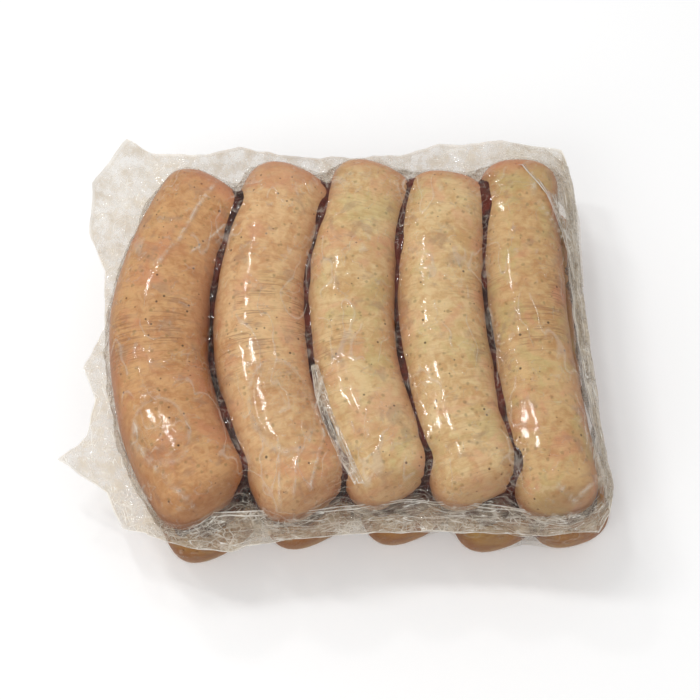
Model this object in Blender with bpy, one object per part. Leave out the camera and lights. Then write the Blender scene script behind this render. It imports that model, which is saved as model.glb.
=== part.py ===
"""Vacuum pack of ten sausage links: two layers of five in a clear bag, as one closed solid.

The solid is the outer form that the drawn-down film takes: it follows every link, bridges the
grooves between them, pinches in between the two layers and runs out there into the flat welded
margin of the bag. X runs across the links, Y along them towards the back, Z up. The origin is at
the middle of the footprint, on the surface that the pack lies on. Run with:

    blender --background --python part.py
"""

import math
from collections import namedtuple

import bpy
import numpy as np

MM = 0.001

# One link: the middle of its centreline, the turn of that line off the Y axis, its length from tip
# to tip, how far it bows out to the left, and its full width.
Link = namedtuple("Link", "x y lean_deg length bow width")

TOP_LINKS = (
    Link(-67.4, -10.5, -1.5, 149, 17.0, 38.5),
    Link(-28.0, -7.5, -3.4, 150, 13.0, 37.0),
    Link(7.0, -4.5, -2.7, 146, 10.5, 35.0),
    Link(42.4, -7.0, -3.6, 141, 6.5, 35.5),
    Link(76.8, -6.5, -3.6, 151, 3.0, 34.5),
)
BOTTOM_LINKS = (
    Link(-62.5, -13.0, -2.2, 150, 13.5, 39.0),
    Link(-22.5, -8.5, -2.6, 148, 11.0, 38.0),
    Link(16.0, -8.0, -3.2, 146, 9.0, 36.0),
    Link(52.5, -9.5, -3.0, 149, 7.0, 34.0),
    Link(83.5, -9.5, -3.4, 146, 4.0, 31.0),
)
LINK_HEIGHT = 32.0  # a link pressed flatter than it is wide
BOTTOM_AXIS_Z = 15.2  # below half a link's height, so that each lower link has a flat resting strip
LAYER_RISE = 30.6  # from the lower links' axes to the upper ones'
END_CAP = 14.0  # how far a link's blunt end reaches past its straight part
ROUNDNESS = 2.35  # exponent of the cross-section: 2 is an ellipse, more is squarer
GIRTH_WAVE = 0.018  # how much a link's girth rises and falls along it
GIRTH_WAVE_LENGTH = 58.0
DRAPE = 4.0  # how wide the film spans a groove instead of going down into it
END_DRAPE = 6.0  # the same at the links' ends, where the film spans from one link to the next
END_DRAPE_FROM = 48.0  # how far from the middle the wider spans begin
END_DRAPE_FULL = 72.0
MIDDLE_Y = -8.0
PINCH = 2.2  # the same between the two layers, where the film is drawn in towards its seam
OUTLINE_DRAPE = 5.0  # and in plan, round the links' ends, in the band that bridges the two layers
BRIDGE_INSET = 7.0  # how far that band stays inside the links' outline
BRIDGE_HEIGHT = 18.0

MARGIN_THICKNESS = 0.8
SEAM_Z = 31.0  # where the upper and lower film meet, between the layers
MARGIN_BEND = 2.0  # the margin leaves the seam level and bends to its edge's height further out

# The cut edge of the margin, side by side, each from its first corner to the next one's: X, Y, Z.
# The straight runs and the pointed tabs are the bag's own.
LEFT_EDGE = (
    (-70, -84, 30), (-80, -81, 29), (-83, -76, 28), (-87, -66, 27), (-106, -54, 30),
    (-96, -43, 29), (-94, -27, 28), (-99, -15, 31), (-92, 3, 31), (-93, 28, 33),
    (-100, 43, 35), (-100, 66, 38), (-87, 87, 39),
)
BACK_EDGE = (
    (-87, 87, 39), (-77, 82, 37), (-58, 81, 36), (-40, 85, 36), (-24, 82, 35), (2, 81, 34),
    (28, 82, 34), (44, 87, 35), (66, 88, 36), (82, 87, 36), (95, 84, 35),
)
RIGHT_EDGE = (
    (95, 84, 35), (99, 71, 34), (100, 52, 32), (100, 31, 31), (102, -8, 31), (104, -42, 31),
    (107, -64, 31), (105, -76, 31),
)
FRONT_EDGE = (
    (105, -76, 31), (100, -83, 31), (86, -84, 31), (80, -85, 31), (63, -84, 31), (42, -83, 30),
    (20, -83, 30), (6, -84, 30), (-16, -86, 30), (-27, -88, 30), (-38, -91, 30), (-51, -90, 30),
    (-62, -87, 30), (-70, -84, 30),
)

# The grid of each half: rays from a core inside the pack, straight up over the core and fanned out
# past its edges, so that the side walls get as many rows as the top.
CORE_FRONT_Y = -67.0
CORE_BACK_Y = 52.0
CELLS_ACROSS = 40
CELLS_ALONG = 15
FAN_ROWS = 5
MARGIN_ROWS = 3
RAY_START = 75.0
RAY_STEPS = 60
RAY_STEP_SHARE = 0.7

# The middle of the whole pack's footprint, in the frame that the lists above are written in.
FOOTPRINT_CENTRE = (1.3, -1.4)

FILM_COLOUR = (0.66, 0.52, 0.38, 1.0)
FILM_ROUGHNESS = 0.12


def arc_of(link):
    """Radius, centre and directions of a link's bowed centreline: along it, and to its inner side."""
    half_chord = link.length / 2 - END_CAP
    radius = (half_chord**2 + link.bow**2) / (2 * link.bow)
    lean = math.radians(link.lean_deg)
    along = np.array([math.sin(lean), math.cos(lean)])
    inward = np.array([math.cos(lean), -math.sin(lean)])
    centre = np.array([link.x, link.y]) + radius * inward
    return radius, centre, along, inward, half_chord


def centreline_x(link, y):
    """X of a link's centreline where it crosses y."""
    radius, centre, _, _, _ = arc_of(link)
    return centre[0] - np.sqrt(radius**2 - (y - centre[1]) ** 2)


def distance_to_link(link, axis_z, points):
    """How far each point is outside a link's skin, in mm; below zero inside it."""
    radius, centre, along, inward, half_chord = arc_of(link)
    offset = points[:, :2] - centre
    reach = np.hypot(offset[:, 0], offset[:, 1])
    turn = np.arctan2(offset @ along, -(offset @ inward))
    station = turn * radius
    beyond = np.maximum(np.abs(station) - half_chord, 0) / END_CAP
    wave = GIRTH_WAVE * np.sin(2 * math.pi * station / GIRTH_WAVE_LENGTH + link.x)
    half_width = link.width / 2 * (1 + wave)
    across = np.abs(reach - radius) / half_width
    upward = np.abs(points[:, 2] - axis_z) / (LINK_HEIGHT / 2 * (1 + wave))
    shape = (across**ROUNDNESS + upward**ROUNDNESS + beyond**ROUNDNESS) ** (1 / ROUNDNESS)
    return (shape - 1) * half_width


def smooth_union(distances, drape):
    """One distance for several shapes together, the grooves between them spanned by the film."""
    total = sum(np.exp(-distance / drape) for distance in distances)
    return -drape * np.log(np.maximum(total, 1e-12))


def distance_to_layer(links, axis_z, points):
    """How far each point is outside the film round one layer of links."""
    from_middle = np.abs(points[:, 1] - MIDDLE_Y)
    share = np.clip((from_middle - END_DRAPE_FROM) / (END_DRAPE_FULL - END_DRAPE_FROM), 0, 1)
    drape = DRAPE + (END_DRAPE - DRAPE) * share * share * (3 - 2 * share)
    return smooth_union([distance_to_link(link, axis_z, points) for link in links], drape)


def distance_to_film(points):
    """How far each point is outside the drawn-down film round both layers of links."""
    upper = distance_to_layer(TOP_LINKS, BOTTOM_AXIS_Z + LAYER_RISE, points)
    lower = distance_to_layer(BOTTOM_LINKS, BOTTOM_AXIS_Z, points)
    plan = points.copy()
    plan[:, 2] = 0
    outline = smooth_union(
        [distance_to_link(link, 0, plan) for link in TOP_LINKS + BOTTOM_LINKS], OUTLINE_DRAPE
    )
    height = np.abs(points[:, 2] - SEAM_Z) - BRIDGE_HEIGHT / 2
    bridge = np.maximum(outline + BRIDGE_INSET, height)
    return smooth_union([upper, lower, bridge], PINCH)


def fan_coordinate(count):
    """For each grid line, its place along the core from 0 to 1, and its fan from -1 to 1."""
    lines = np.arange(-FAN_ROWS, count + FAN_ROWS + 1)
    place = np.clip(lines / count, 0, 1)
    fan = np.where(lines < 0, lines / FAN_ROWS, np.maximum(lines - count, 0) / FAN_ROWS)
    return place, fan


def half_of_film(side):
    """The grid of points of the upper (side 1) or lower (side -1) film, out to the seam."""
    place_x, fan_x = fan_coordinate(CELLS_ACROSS)
    place_y, fan_y = fan_coordinate(CELLS_ALONG)
    u, v = np.meshgrid(place_x, place_y, indexing="ij")
    fan_u, fan_v = np.meshgrid(fan_x, fan_y, indexing="ij")
    core_y = CORE_FRONT_Y + v * (CORE_BACK_Y - CORE_FRONT_Y)
    left = centreline_x(TOP_LINKS[0], core_y)
    right = centreline_x(TOP_LINKS[-1], core_y)
    seam_z = SEAM_Z + side * MARGIN_THICKNESS / 2
    core = np.stack([left + u * (right - left), core_y, np.full_like(u, seam_z)], -1)
    tilt = np.maximum(np.abs(fan_u), np.abs(fan_v)) * math.pi / 2
    level = np.maximum(np.hypot(fan_u, fan_v), 1e-9)
    sideways = np.sin(tilt) / level
    ray = np.stack([fan_u * sideways, fan_v * sideways, side * np.cos(tilt)], -1)
    core = core.reshape(-1, 3)
    ray = ray.reshape(-1, 3)
    reach = np.full(len(core), RAY_START)
    for _ in range(RAY_STEPS):
        reach -= RAY_STEP_SHARE * distance_to_film(core + reach[:, None] * ray)
    points = core + reach[:, None] * ray
    points[:, 2] = np.maximum(points[:, 2], 0)
    return points.reshape(*u.shape, 3)


def boundary_sides(columns, rows):
    """Grid indices of the four sides in order left, back, right, front, each to its next corner."""
    left = [(0, j) for j in range(rows - 1)]
    back = [(i, rows - 1) for i in range(columns - 1)]
    right = [(columns - 1, j) for j in range(rows - 1, 0, -1)]
    front = [(i, 0) for i in range(columns - 1, 0, -1)]
    return left, back, right, front


def along_edge(edge, shares):
    """Points of a polyline at these shares of its length."""
    corners = np.array(edge, float)
    steps = np.linalg.norm(np.diff(corners, axis=0), axis=1)
    travelled = np.concatenate([[0], np.cumsum(steps)]) / steps.sum()
    return np.stack([np.interp(shares, travelled, corners[:, k]) for k in range(3)], -1)


def edge_points(seam_sides):
    """The cut edge of the margin, one point for each point of the seam."""
    found = []
    starts = [side[0] for side in seam_sides]
    for n, (side, edge) in enumerate(
        zip(seam_sides, (LEFT_EDGE, BACK_EDGE, RIGHT_EDGE, FRONT_EDGE), strict=True)
    ):
        closed = np.vstack([side, starts[(n + 1) % 4]])
        steps = np.linalg.norm(np.diff(closed, axis=0), axis=1)
        shares = np.concatenate([[0], np.cumsum(steps)]) / steps.sum()
        found.append(along_edge(edge, shares[:-1]))
    return np.vstack(found)


def margin_rings(film, side):
    """The margin's rings of points outside the seam, and the grid indices of the seam."""
    columns, rows, _ = film.shape
    sides = boundary_sides(columns, rows)
    seam_sides = [np.array([film[at] for at in one]) for one in sides]
    seam = np.vstack(seam_sides)
    edge = edge_points(seam_sides)
    edge[:, 2] += side * MARGIN_THICKNESS / 2
    rings = []
    for share in np.arange(1, MARGIN_ROWS + 1) / MARGIN_ROWS:
        bent = (share, share, share**MARGIN_BEND)
        rings.append(seam + bent * (edge - seam))
    return rings, [at for one in sides for at in one]


def half_mesh(side, first):
    """Points and faces of one half, numbered from first, and the numbers of its outermost ring."""
    film = half_of_film(side)
    rings, seam = margin_rings(film, side)
    columns, rows, _ = film.shape
    faces = [
        (a, a + rows, a + rows + 1, a + 1)
        for i in range(columns - 1)
        for a in range(first + i * rows, first + (i + 1) * rows - 1)
    ]
    inner = [first + i * rows + j for i, j in seam]
    start = first + columns * rows
    for n in range(len(rings)):
        outer = list(range(start + n * len(inner), start + (n + 1) * len(inner)))
        for k in range(len(inner)):
            after = (k + 1) % len(inner)
            faces.append((inner[k], inner[after], outer[after], outer[k]))
        inner = outer
    if side < 0:
        faces = [face[::-1] for face in faces]
    return np.vstack([film.reshape(-1, 3), *rings]), faces, inner


def pack_material():
    """Flesh seen through clear film, as one plain finish."""
    material = bpy.data.materials.new("clear_film_over_sausage")
    material.use_nodes = True
    shader = material.node_tree.nodes["Principled BSDF"]
    shader.inputs["Base Color"].default_value = FILM_COLOUR
    shader.inputs["Roughness"].default_value = FILM_ROUGHNESS
    shader.inputs["Metallic"].default_value = 0.0
    return material


def build_pack():
    """The whole pack as one closed mesh object."""
    upper, upper_faces, upper_rim = half_mesh(1, 0)
    lower, lower_faces, lower_rim = half_mesh(-1, len(upper))
    rim = [
        (upper_rim[k - 1], upper_rim[k], lower_rim[k], lower_rim[k - 1])
        for k in range(len(upper_rim))
    ]
    points = np.vstack([upper, lower])
    points[:, :2] -= FOOTPRINT_CENTRE
    mesh = bpy.data.meshes.new("vacuum_pack")
    mesh.from_pydata((points * MM).tolist(), [], upper_faces + lower_faces + rim)
    mesh.validate()
    mesh.update()
    mesh.shade_smooth()
    mesh.materials.append(pack_material())
    pack = bpy.data.objects.new("vacuum_pack", mesh)
    bpy.context.scene.collection.objects.link(pack)
    return pack


def main():
    for old in list(bpy.data.objects):
        bpy.data.objects.remove(old, do_unlink=True)
    build_pack()


main()
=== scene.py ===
import math
from collections import namedtuple

import bpy
import numpy as np
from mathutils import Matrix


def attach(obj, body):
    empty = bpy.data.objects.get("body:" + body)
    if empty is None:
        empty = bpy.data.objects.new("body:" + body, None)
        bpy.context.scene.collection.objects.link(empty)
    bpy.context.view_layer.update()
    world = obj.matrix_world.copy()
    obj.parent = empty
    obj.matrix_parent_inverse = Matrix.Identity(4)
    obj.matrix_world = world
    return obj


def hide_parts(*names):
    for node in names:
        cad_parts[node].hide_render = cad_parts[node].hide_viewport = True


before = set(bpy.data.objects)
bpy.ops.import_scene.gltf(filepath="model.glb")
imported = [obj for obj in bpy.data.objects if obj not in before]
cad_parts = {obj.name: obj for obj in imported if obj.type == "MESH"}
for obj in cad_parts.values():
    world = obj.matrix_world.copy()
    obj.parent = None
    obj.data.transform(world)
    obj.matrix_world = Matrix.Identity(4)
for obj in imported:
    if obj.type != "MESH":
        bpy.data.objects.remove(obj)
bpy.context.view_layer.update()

# --- Sausages -------------------------------------------------------------------------------------
# Fat fresh links: coarse pale meat in thin natural casing. Five lie side by side on five more, all
# bowed to the left, and the vacuum presses them flatter than they are wide and close together.

MM = 0.001
FOOTPRINT_CENTRE = np.array([1.3, -1.4])

# One link, in mm: the middle of its centreline, the turn of that line off the Y axis, its length
# from tip to tip, how far it bows out to the left, and its full width.
Link = namedtuple("Link", "x y lean_deg length bow width")
TOP_LINKS = (
    Link(-67.4, -10.5, -1.5, 149, 17.0, 38.5),
    Link(-28.0, -7.5, -3.4, 150, 13.0, 37.0),
    Link(7.0, -4.5, -2.7, 146, 10.5, 35.0),
    Link(42.4, -7.0, -3.6, 141, 6.5, 35.5),
    Link(76.8, -6.5, -3.6, 151, 3.0, 34.5),
)
BOTTOM_LINKS = (
    Link(-62.5, -13.0, -2.2, 150, 13.5, 39.0),
    Link(-22.5, -8.5, -2.6, 148, 11.0, 38.0),
    Link(16.0, -8.0, -3.2, 146, 9.0, 36.0),
    Link(52.5, -9.5, -3.0, 149, 7.0, 34.0),
    Link(83.5, -9.5, -3.4, 146, 4.0, 31.0),
)
LINK_HEIGHT = 32.0
BOTTOM_AXIS_Z = 15.2
TOP_AXIS_Z = 45.8
END_CAP = 14.0
ROUNDNESS = 2.35
BLUNTNESS = 3.2  # how full the ends stay before they close
GIRTH_WAVE = 0.018
GIRTH_WAVE_LENGTH = 58.0
TOP_DROOP = 2.0  # the upper links' ends hang this much lower than their middles
LUMPS = 0.9  # how uneven the meat makes the casing
LOWER_DETAIL = 0.75  # the hidden lower links need fewer rings and segments


def join(tree, kind, inputs, **settings):
    """Add a node to a tree, set what it is, and feed its inputs from sockets or plain values."""
    node = tree.nodes.new(kind)
    for name, value in settings.items():
        setattr(node, name, value)
    for key, source in inputs.items():
        if isinstance(source, bpy.types.NodeSocket):
            tree.links.new(source, node.inputs[key])
        else:
            node.inputs[key].default_value = source
    return node


def calc(tree, operation, first, second=0.0, third=0.0):
    """One sum on numbers in a tree."""
    return join(tree, "ShaderNodeMath", {0: first, 1: second, 2: third}, operation=operation).outputs[0]


def times(tree, first, second):
    """Two numbers multiplied in a tree."""
    return calc(tree, "MULTIPLY", first, second)


def times_plus(tree, first, second, third):
    """Two numbers multiplied in a tree, and a third added."""
    return calc(tree, "MULTIPLY_ADD", first, second, third)


def larger(tree, first, second):
    """The larger of two numbers in a tree."""
    return calc(tree, "MAXIMUM", first, second)


def sausage_tree():
    """Geometry Nodes for one link: a round ball of rings drawn out, squared, bowed and laid in place."""
    tree = bpy.data.node_groups.new("sausage_link", "GeometryNodeTree")
    face = tree.interface
    for name in ("Middle X", "Middle Y", "Axis Z", "Length", "Bow", "Lean", "Width", "Height",
                 "End Cap", "Roundness", "Bluntness", "Droop", "Girth Wave", "Girth Wave Length",
                 "Lumps", "Seed"):
        face.new_socket(name, in_out="INPUT", socket_type="NodeSocketFloat")
    for name in ("Rings", "Segments"):
        face.new_socket(name, in_out="INPUT", socket_type="NodeSocketInt")
    face.new_socket("Casing", in_out="INPUT", socket_type="NodeSocketMaterial")
    face.new_socket("Geometry", in_out="OUTPUT", socket_type="NodeSocketGeometry")
    given = tree.nodes.new("NodeGroupInput").outputs

    ball = join(tree, "GeometryNodeMeshUVSphere",
                {"Segments": given["Segments"], "Rings": given["Rings"], "Radius": 1.0})
    where = tree.nodes.new("GeometryNodeInputPosition")
    at = join(tree, "ShaderNodeSeparateXYZ", {0: where.outputs[0]}).outputs

    half_length = times(tree, given["Length"], 0.5)
    half_chord = calc(tree, "SUBTRACT", half_length, given["End Cap"])
    bow_twice = times(tree, given["Bow"], 2.0)
    squares = times_plus(tree, half_chord, half_chord, times(tree, given["Bow"], given["Bow"]))
    radius = calc(tree, "DIVIDE", squares, bow_twice)
    station = times(tree, at["Z"], half_length)

    past_end = larger(tree, calc(tree, "SUBTRACT", calc(tree, "ABSOLUTE", station), half_chord), 0.0)
    beyond = calc(tree, "DIVIDE", past_end, given["End Cap"])
    left_over = calc(tree, "SUBTRACT", 1.0, calc(tree, "POWER", beyond, given["Bluntness"]))
    root = calc(tree, "DIVIDE", 1.0, given["Roundness"])
    taper = calc(tree, "POWER", larger(tree, left_over, 0.0), root)

    phase = times_plus(tree, station,
                       calc(tree, "DIVIDE", 2 * math.pi, given["Girth Wave Length"]),
                       calc(tree, "DIVIDE", given["Middle X"], MM))
    wave = times_plus(tree, calc(tree, "SINE", phase), given["Girth Wave"], 1.0)
    girth = times(tree, taper, wave)
    ring = calc(tree, "SQRT", times_plus(tree, at["X"], at["X"], times(tree, at["Y"], at["Y"])))
    squarer = calc(tree, "DIVIDE", 2.0, given["Roundness"])

    def squared(side, size):
        """One direction of the squared cross-section, from the middle of the link."""
        cosine = calc(tree, "DIVIDE", side, ring)
        bulge = calc(tree, "POWER", calc(tree, "ABSOLUTE", cosine), squarer)
        half = times(tree, times(tree, size, 0.5), girth)
        return times(tree, times(tree, calc(tree, "SIGN", cosine), bulge), half)

    outward = squared(at["X"], given["Width"])
    upward = squared(at["Y"], given["Height"])

    lean_and_turn = calc(tree, "ADD", given["Lean"], calc(tree, "DIVIDE", station, radius))
    reach = calc(tree, "ADD", radius, outward)
    centre_x = times_plus(tree, calc(tree, "COSINE", given["Lean"]), radius, given["Middle X"])
    centre_y = calc(tree, "SUBTRACT", given["Middle Y"],
                    times(tree, calc(tree, "SINE", given["Lean"]), radius))
    laid_x = calc(tree, "SUBTRACT", centre_x, times(tree, calc(tree, "COSINE", lean_and_turn), reach))
    laid_y = calc(tree, "ADD", centre_y, times(tree, calc(tree, "SINE", lean_and_turn), reach))
    share = calc(tree, "DIVIDE", station, half_length)
    fall = times(tree, times(tree, share, share), given["Droop"])
    laid_z = calc(tree, "SUBTRACT", calc(tree, "ADD", given["Axis Z"], upward), fall)
    laid = join(tree, "ShaderNodeCombineXYZ", {0: laid_x, 1: laid_y, 2: laid_z})

    straight = join(tree, "ShaderNodeCombineXYZ", {0: outward, 1: station, 2: upward})
    moved = join(tree, "ShaderNodeVectorMath",
                 {0: (0.31, 0.17, 0.23), "Scale": given["Seed"]}, operation="SCALE")
    unbent = join(tree, "ShaderNodeVectorMath",
                  {0: straight.outputs[0], 1: moved.outputs[0]}, operation="ADD")
    place = join(tree, "ShaderNodeCombineXYZ",
                 {0: calc(tree, "DIVIDE", at["X"], ring), 1: share,
                  2: calc(tree, "DIVIDE", at["Y"], ring)})
    marked = ball
    for name, value in (("unbent", unbent), ("place", place)):
        marked = join(tree, "GeometryNodeStoreNamedAttribute",
                      {"Geometry": marked.outputs[0], "Name": name, "Value": value.outputs[0]},
                      data_type="FLOAT_VECTOR", domain="POINT")
    body = join(tree, "GeometryNodeSetPosition", {"Geometry": marked.outputs[0], "Position": laid.outputs[0]})

    lump = join(tree, "ShaderNodeTexNoise",
                {"Vector": join(tree, "GeometryNodeInputNamedAttribute", {"Name": "unbent"},
                                data_type="FLOAT_VECTOR").outputs[0],
                 "Scale": 70.0, "Detail": 3.0, "Roughness": 0.55})
    push = times(tree, calc(tree, "SUBTRACT", lump.outputs[0], 0.5), given["Lumps"])
    normal = tree.nodes.new("GeometryNodeInputNormal")
    along_normal = join(tree, "ShaderNodeVectorMath",
                        {0: normal.outputs[0], "Scale": push}, operation="SCALE")
    body = join(tree, "GeometryNodeSetPosition",
                {"Geometry": body.outputs[0], "Offset": along_normal.outputs[0]})
    now = join(tree, "ShaderNodeSeparateXYZ", {0: tree.nodes.new("GeometryNodeInputPosition").outputs[0]})
    rested = join(tree, "ShaderNodeCombineXYZ",
                  {0: now.outputs[0], 1: now.outputs[1],
                   2: larger(tree, now.outputs[2], 0.4 * MM)})
    body = join(tree, "GeometryNodeSetPosition", {"Geometry": body.outputs[0], "Position": rested.outputs[0]})
    body = join(tree, "GeometryNodeSetShadeSmooth", {0: body.outputs[0]})
    body = join(tree, "GeometryNodeRealizeInstances", {0: body.outputs[0]})
    body = join(tree, "GeometryNodeSetMaterial", {0: body.outputs[0], "Material": given["Casing"]})
    out = tree.nodes.new("NodeGroupOutput")
    tree.links.new(body.outputs[0], out.inputs[0])
    return tree


def grown(name, tree, values):
    """A plain mesh object from a Geometry Nodes tree, with its inputs set by name."""
    seed_mesh = bpy.data.meshes.new(name + "_seed")
    grower = bpy.data.objects.new(name + "_seed", seed_mesh)
    bpy.context.scene.collection.objects.link(grower)
    modifier = grower.modifiers.new("grow", "NODES")
    modifier.node_group = tree
    sockets = {s.name: s.identifier for s in tree.interface.items_tree if s.in_out == "INPUT"}
    for key, value in values.items():
        modifier[sockets[key]] = value
    bpy.context.view_layer.update()
    shape = grower.evaluated_get(bpy.context.evaluated_depsgraph_get())
    mesh = bpy.data.meshes.new_from_object(shape)
    mesh.name = name
    bpy.data.objects.remove(grower, do_unlink=True)
    bpy.data.meshes.remove(seed_mesh)
    piece = bpy.data.objects.new(name, mesh)
    bpy.context.scene.collection.objects.link(piece)
    return piece


def srgb(red, green, blue):
    """A colour named by its 0 to 255 screen values, as the linear colour that a shader takes."""
    linear = []
    for value in (red, green, blue):
        share = value / 255
        linear.append(share / 12.92 if share <= 0.04045 else ((share + 0.055) / 1.055) ** 2.4)
    return (*linear, 1.0)


def blend_of(tree, share, first, second, kind="MIX"):
    """Two colours mixed in a tree."""
    node = join(tree, "ShaderNodeMix", {0: share, 6: first, 7: second}, data_type="RGBA", blend_type=kind)
    return node.outputs[2]


def noise_of(tree, vector, scale, detail=2.0, roughness=0.5, distortion=0.0):
    """Soft cloudy noise from 0 to 1 in a tree."""
    return join(tree, "ShaderNodeTexNoise",
                {"Vector": vector, "Scale": scale, "Detail": detail, "Roughness": roughness,
                 "Distortion": distortion}).outputs[0]


def ramp_of(tree, value, low, high):
    """A value taken smoothly from 0 at low to 1 at high."""
    return join(tree, "ShaderNodeMapRange",
                {"Value": value, "From Min": low, "From Max": high, "To Min": 0.0, "To Max": 1.0},
                interpolation_type="SMOOTHSTEP").outputs[0]


def stretched(tree, vector, scale):
    """Coordinates scaled differently each way."""
    return join(tree, "ShaderNodeMapping", {"Vector": vector, "Scale": scale}).outputs[0]


def group_of(name, inputs, outputs):
    """An empty shader node group with named sockets: the tree, its inputs and its output node."""
    tree = bpy.data.node_groups.new(name, "ShaderNodeTree")
    for title, kind in inputs:
        tree.interface.new_socket(title, in_out="INPUT", socket_type="NodeSocket" + kind)
    for title, kind in outputs:
        tree.interface.new_socket(title, in_out="OUTPUT", socket_type="NodeSocket" + kind)
    return tree, tree.nodes.new("NodeGroupInput").outputs, tree.nodes.new("NodeGroupOutput")


def meat_group():
    """Coarse meat seen through its casing: cloudy fat and lean, brown cross wrinkles, herbs, pepper, and
    painted shade on its sides.
    """
    tree, given, out = group_of(
        "sausage_meat",
        [("Unbent", "Vector"), ("Place", "Vector"), ("Lean Meat", "Color"), ("Fat", "Color"),
         ("Pink", "Color"), ("Edge Shade", "Color"), ("Green", "Float")],
        [("Color", "Color"), ("Height", "Float")],
    )
    spot = given["Unbent"]
    place = join(tree, "ShaderNodeSeparateXYZ", {0: given["Place"]}).outputs
    broad = noise_of(tree, spot, 45.0, 2.0, 0.5)
    mottle = noise_of(tree, stretched(tree, spot, (1.0, 1.25, 1.0)), 260.0, 4.0, 0.62, 0.5)
    cloud = times_plus(tree, mottle, 0.75, times(tree, broad, 0.40))
    colour = blend_of(tree, ramp_of(tree, cloud, 0.40, 0.70), given["Lean Meat"], given["Fat"])

    rosy = noise_of(tree, spot, 62.0, 3.0, 0.6, 0.5)
    left = ramp_of(tree, times(tree, place["X"], -1.0), 0.35, 0.95)
    rosy = times(tree, ramp_of(tree, rosy, 0.50, 0.66), 0.75)
    rosy = times_plus(tree, left, 0.55, rosy)
    colour = blend_of(tree, times(tree, rosy, 0.6), colour, given["Pink"])

    green = noise_of(tree, spot, 55.0, 4.0, 0.65, 0.4)
    green = times(tree, ramp_of(tree, green, 0.50, 0.62), given["Green"])
    colour = blend_of(tree, green, colour, srgb(196, 184, 122))

    smudge = noise_of(tree, stretched(tree, spot, (1.0, 1.2, 1.0)), 120.0, 3.0, 0.55, 0.6)
    smudge = times(tree, ramp_of(tree, smudge, 0.54, 0.70), 0.42)
    colour = blend_of(tree, smudge, colour, srgb(158, 128, 106))

    line = noise_of(tree, stretched(tree, spot, (70.0, 1500.0, 70.0)), 1.0, 3.0, 0.6, 0.35)
    band = noise_of(tree, stretched(tree, spot, (55.0, 30.0, 55.0)), 1.0, 2.0)
    middle = calc(tree, "SUBTRACT", 1.0, ramp_of(tree, calc(tree, "ABSOLUTE", place["Y"]), 0.02, 0.40))
    where = times(tree, ramp_of(tree, band, 0.44, 0.60), times_plus(tree, middle, 0.85, 0.15))
    wrinkle = times(tree, ramp_of(tree, line, 0.50, 0.62), where)
    colour = blend_of(tree, times(tree, wrinkle, 0.7), colour, srgb(156, 108, 70))
    thread = times(tree, ramp_of(tree, line, 0.50, 0.66), 0.13)
    colour = blend_of(tree, thread, colour, srgb(176, 136, 98))

    grit = noise_of(tree, spot, 1500.0, 2.0, 0.6)
    flake = join(tree, "ShaderNodeTexVoronoi", {"Vector": spot, "Scale": 330.0, "Randomness": 1.0})
    chance = join(tree, "ShaderNodeSeparateColor", {0: flake.outputs["Color"]}).outputs
    ragged = times_plus(tree, grit, 0.30, flake.outputs["Distance"])
    herb = times(tree, calc(tree, "SUBTRACT", 1.0, ramp_of(tree, ragged, 0.28, 0.46)),
                 calc(tree, "GREATER_THAN", chance[0], 0.58))
    colour = blend_of(tree, times(tree, herb, 0.42), colour, srgb(122, 104, 58))

    grain = join(tree, "ShaderNodeTexVoronoi", {"Vector": spot, "Scale": 430.0, "Randomness": 1.0})
    chance = join(tree, "ShaderNodeSeparateColor", {0: grain.outputs["Color"]}).outputs
    size = times_plus(tree, times(tree, chance[2], chance[2]), 0.16, 0.07)
    inside = calc(tree, "DIVIDE", grain.outputs["Distance"], size)
    pepper = times(tree, calc(tree, "SUBTRACT", 1.0, ramp_of(tree, inside, 0.7, 1.25)),
                   calc(tree, "GREATER_THAN", chance[1], 0.68))
    colour = blend_of(tree, times(tree, pepper, 0.85), colour, srgb(58, 42, 22))

    # Painted shade: each link's sides darken towards the edge colour where they turn down into the grooves,
    # with some juice soaking them there. The same colour also darkens the tips.
    side = calc(tree, "POWER", calc(tree, "ABSOLUTE", place["X"]), 5.0)
    tip = ramp_of(tree, calc(tree, "ABSOLUTE", place["Y"]), 0.86, 1.0)
    edge = larger(tree, times(tree, side, 0.8), times(tree, tip, 0.5))
    colour = blend_of(tree, edge, colour, given["Edge Shade"])
    back = ramp_of(tree, times_plus(tree, broad, 0.35, place["Y"]), 0.96, 1.16)
    colour = blend_of(tree, times(tree, back, 0.6), colour, srgb(208, 134, 100))
    grey = blend_of(tree, grit, (0.30, 0.30, 0.30, 1), (0.70, 0.70, 0.70, 1))
    colour = blend_of(tree, 0.22, colour, grey, "OVERLAY")

    height = times_plus(tree, wrinkle, -0.6, times(tree, mottle, 0.7))
    height = calc(tree, "ADD", height, times(tree, line, 0.25))
    tree.links.new(colour, out.inputs["Color"])
    tree.links.new(height, out.inputs["Height"])
    return tree


def named(tree, name):
    """A value that the mesh carries at each point."""
    return join(tree, "ShaderNodeAttribute", {}, attribute_name=name).outputs


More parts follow.
